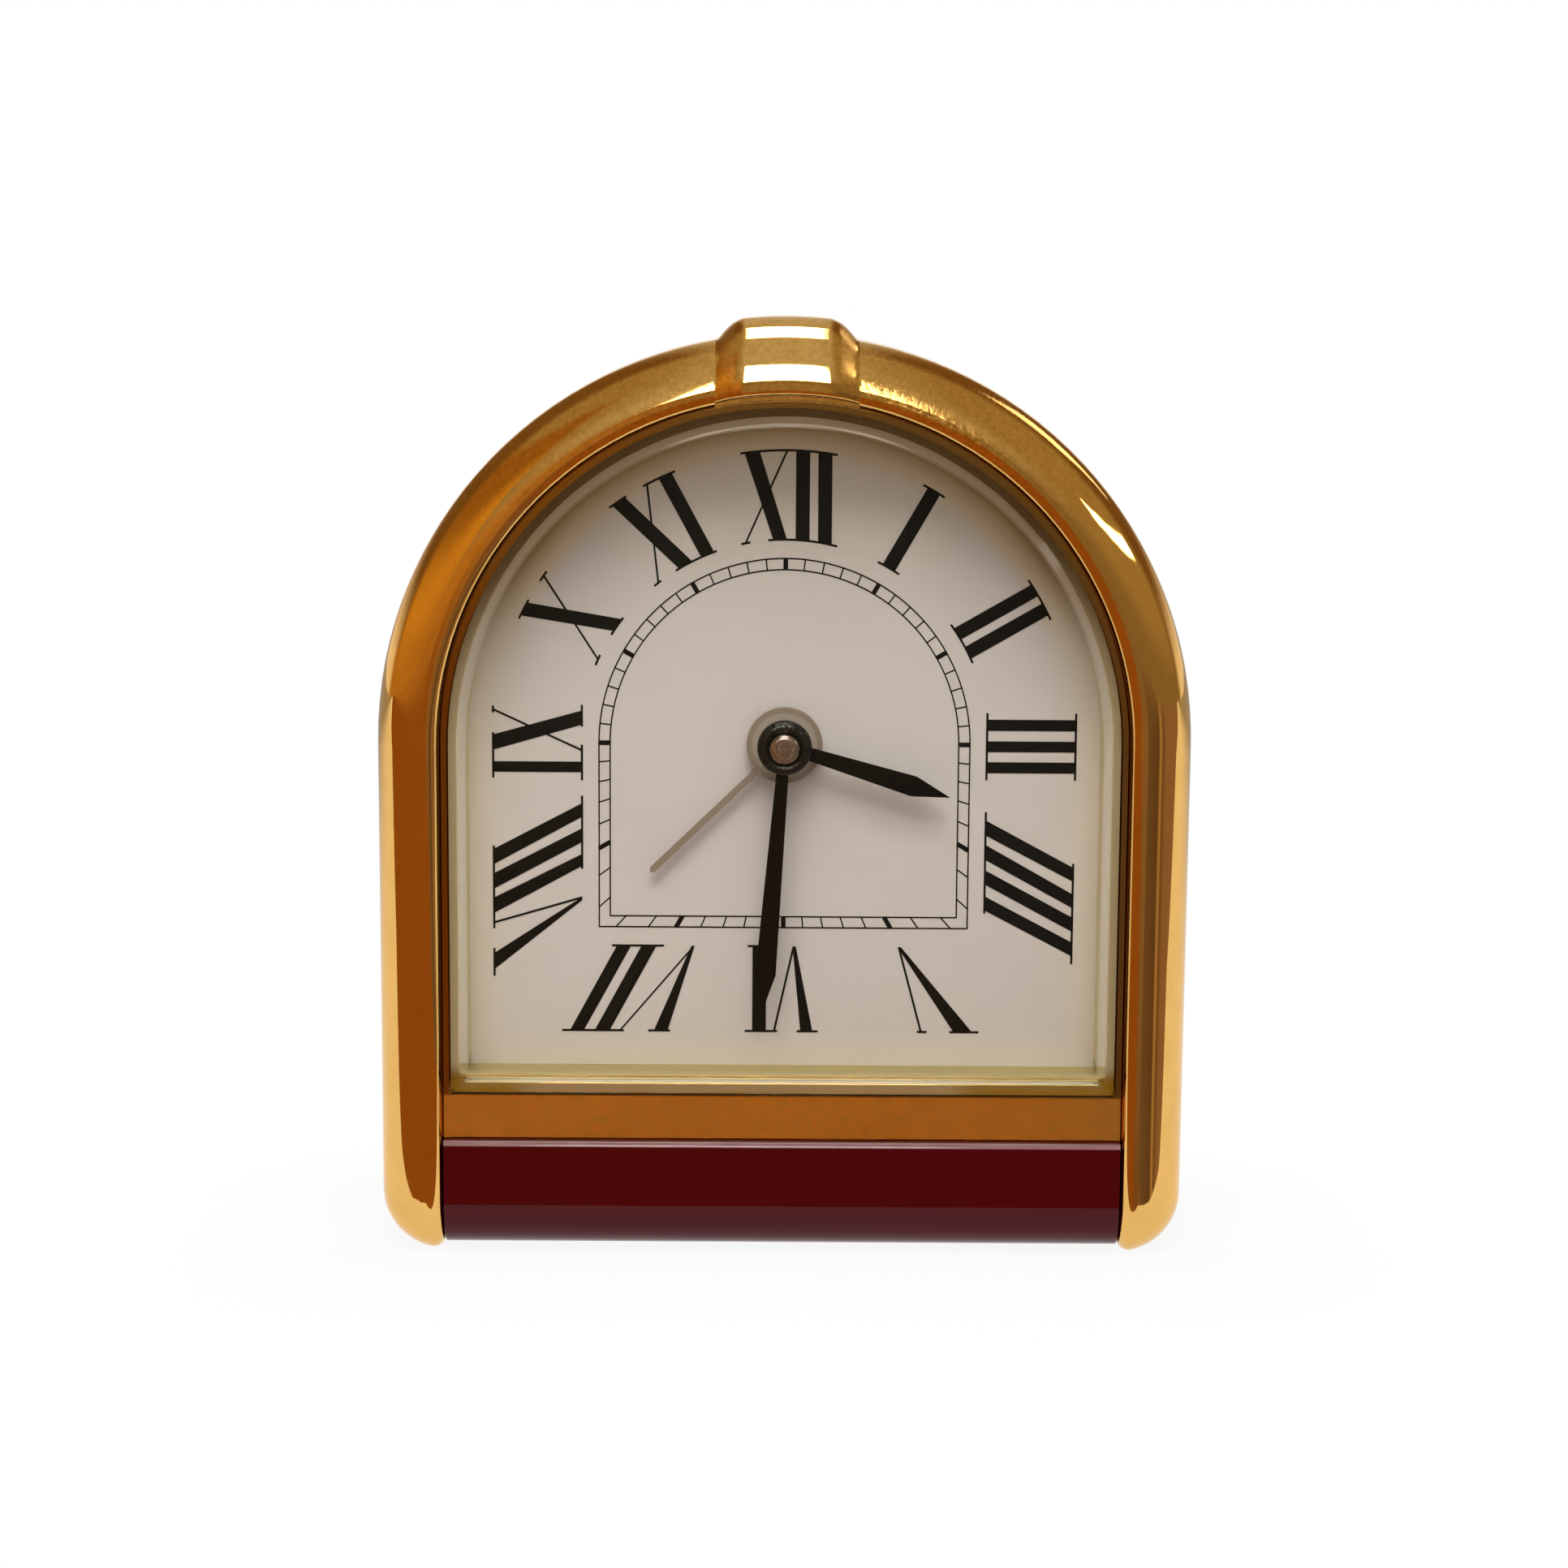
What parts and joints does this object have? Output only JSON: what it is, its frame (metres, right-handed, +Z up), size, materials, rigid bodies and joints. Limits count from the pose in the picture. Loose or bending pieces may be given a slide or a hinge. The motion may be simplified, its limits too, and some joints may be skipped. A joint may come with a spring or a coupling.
{
  "type": "arched alarm desk clock",
  "caption": "Arch-topped gold-framed alarm desk clock with bevelled crystal, Roman dial, red lacquer base bar, top alarm button and a folding strut behind.",
  "frame": {"origin": "centre of the bounding box on the plane that the legs stand on", "axes": "+Z up, +X to the right of the dial as it is read, -Y out of the dial towards the reader"},
  "size_m": [0.072, 0.0195, 0.0835],
  "materials": {
    "gold_plate": "polished gold plate",
    "satin_gold": "satin gold plate",
    "red_lacquer": "gloss dark red lacquer",
    "crystal_glass": "polished",
    "pale_ring": "pale satin",
    "dial_white": "off-white satin",
    "black_hands": "satin black",
    "grey_hand": "satin taupe grey",
    "steel": "turned steel",
    "gear_brass": "cut brass",
    "spring_bronze": "rolled bronze",
    "plate_brass": "brushed brass",
    "white_plastic": "moulded",
    "copper_wire": "enamelled copper wire",
    "board_green": "solder mask",
    "black_resin": "epoxy drop",
    "amber_seal": "clear seal, ambered",
    "black_rubber": "moulded"
  },
  "bodies": {
    "case": {"case_frame": "gold_plate", "inner_bezel": "satin_gold", "base_bar": "red_lacquer", "base_bar_rod": "steel", "crystal": "crystal_glass", "crystal_gasket": "amber_seal", "dial_ring": "pale_ring", "dial": "dial_white", "movement_front_plate": "white_plastic", "movement_back_plate": "plate_brass", "movement_screws": "steel", "movement_holder": "white_plastic", "stator": "steel", "coil_core": "steel", "coil_winding": "copper_wire", "circuit_board": "board_green", "clock_chip": "black_resin", "quartz_can": "steel", "battery": "steel", "battery_contact_front": "spring_bronze", "battery_contact_side": "spring_bronze", "hatch_gasket": "black_rubber", "buzzer_disc": "gear_brass", "back_cover": "gold_plate", "back_cover_screws": "steel", "strut_pin": "steel", "alarm_contact_spring": "spring_bronze"},
    "minute_works": {"minute_hand": "black_hands", "hand_nut": "steel", "minute_arbor": "steel", "centre_wheel": "gear_brass"},
    "hour_works": {"hour_hand": "black_hands", "hour_wheel": "gear_brass"},
    "time_setting": {"minute_wheel": "gear_brass", "time_set_knob": "gold_plate"},
    "third_works": {"third_wheel": "gear_brass"},
    "second_works": {"second_wheel": "gear_brass"},
    "motor_rotor": {"rotor": "steel"},
    "alarm_works": {"alarm_hand": "grey_hand", "alarm_wheel": "gear_brass"},
    "alarm_setting": {"alarm_set_arbor": "gear_brass", "alarm_set_knob": "gold_plate"},
    "button": {"alarm_button": "gold_plate"},
    "hatch": {"battery_hatch": "gold_plate"},
    "easel": {"strut": "gold_plate"}
  },
  "joints": [
    {"name": "minute_turn", "type": "hinge", "parent": "case", "child": "minute_works", "pos_m": [0, 0, 0.0455], "axis": [0, 1, 0], "continuous": true},
    {"name": "hour_turn", "type": "hinge", "parent": "case", "child": "hour_works", "pos_m": [0, 0, 0.0455], "axis": [0, 1, 0], "continuous": true},
    {"name": "time_knob_turn", "type": "hinge", "parent": "case", "child": "time_setting", "pos_m": [0.009, 0, 0.0455], "axis": [0, 1, 0], "continuous": true},
    {"name": "third_turn", "type": "hinge", "parent": "case", "child": "third_works", "pos_m": [0, 0, 0.0371], "axis": [0, 1, 0], "continuous": true},
    {"name": "second_turn", "type": "hinge", "parent": "case", "child": "second_works", "pos_m": [-0.0052, 0, 0.0341], "axis": [0, 1, 0], "continuous": true},
    {"name": "rotor_turn", "type": "hinge", "parent": "case", "child": "motor_rotor", "pos_m": [-0.0108, 0, 0.0341], "axis": [0, 1, 0], "continuous": true},
    {"name": "alarm_turn", "type": "hinge", "parent": "case", "child": "alarm_works", "pos_m": [0, 0, 0.0455], "axis": [0, 1, 0], "continuous": true},
    {"name": "alarm_knob_turn", "type": "hinge", "parent": "case", "child": "alarm_setting", "pos_m": [-0.0108, 0, 0.0455], "axis": [0, 1, 0], "continuous": true},
    {"name": "alarm_press", "type": "slide", "parent": "case", "child": "button", "axis": [0, 0, -1], "range_m": [0, 0.0006], "stiffness_N_per_m": 800, "springref_m": -0.0006, "deforming": ["alarm_contact_spring"]},
    {"name": "hatch_turn", "type": "hinge", "parent": "case", "child": "hatch", "pos_m": [0, 0.00735, 0.0601], "axis": [0, 1, 0], "range_deg": [0, 60]},
    {"name": "strut_swing", "type": "hinge", "parent": "case", "child": "easel", "pos_m": [0, 0.00865, 0.0384], "axis": [1, 0, 0], "range_deg": [0, 50]}
  ],
  "couplings": [
    {"joint": "hour_turn", "follows": "minute_turn", "ratio": 0.083333},
    {"joint": "time_knob_turn", "follows": "minute_turn", "ratio": -0.33333},
    {"joint": "third_turn", "follows": "minute_turn", "ratio": -3},
    {"joint": "second_turn", "follows": "minute_turn", "ratio": 15},
    {"joint": "rotor_turn", "follows": "minute_turn", "ratio": -90},
    {"joint": "alarm_knob_turn", "follows": "alarm_turn", "ratio": -2}
  ]
}
